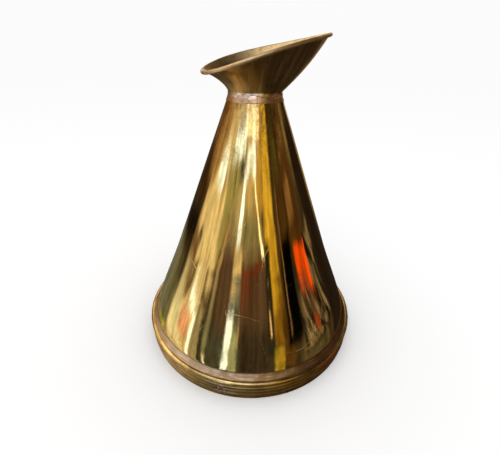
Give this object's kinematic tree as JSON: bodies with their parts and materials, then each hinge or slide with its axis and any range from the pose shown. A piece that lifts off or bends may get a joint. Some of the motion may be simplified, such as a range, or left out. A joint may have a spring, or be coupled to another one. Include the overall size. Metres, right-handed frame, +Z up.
{
  "type": "conical pouring jug",
  "caption": "Tall conical sheet-brass jug with a wired foot hoop, a narrow strapped neck and a slanted funnel mouth that pours over its high tip.",
  "frame": {"origin": "centre of the foot, on the surface that the jug stands on", "axes": "+Z up along the axis of the cone, +X towards the pouring tip of the mouth"},
  "size_m": [0.2556, 0.2556, 0.3271],
  "materials": {
    "polished_brass": "mirror polished, with fine scratches",
    "mouth_brass": "worn polish, tarnished brown",
    "foot_brass": "satin, tarnished in the grooves",
    "plate_brass": "dull, as rolled",
    "wire_brass": "drawn wire, dull",
    "braze": "matt, coppery, uneven",
    "strap_brass": "matt, heat stained"
  },
  "bodies": {
    "root": {"foot_hoop": "foot_brass", "foot_hoop_joint_braze": "braze", "foot_bead_wire": "wire_brass", "foot_braze_fillet": "braze", "base_plate": "plate_brass", "base_plate_braze": "braze", "body_cone": "polished_brass", "body_seam_braze": "braze", "mouth_funnel": "mouth_brass", "mouth_seam_braze": "braze", "rim_wire": "wire_brass", "neck_strap": "strap_brass", "neck_braze_bead": "braze"}
  },
  "joints": []
}
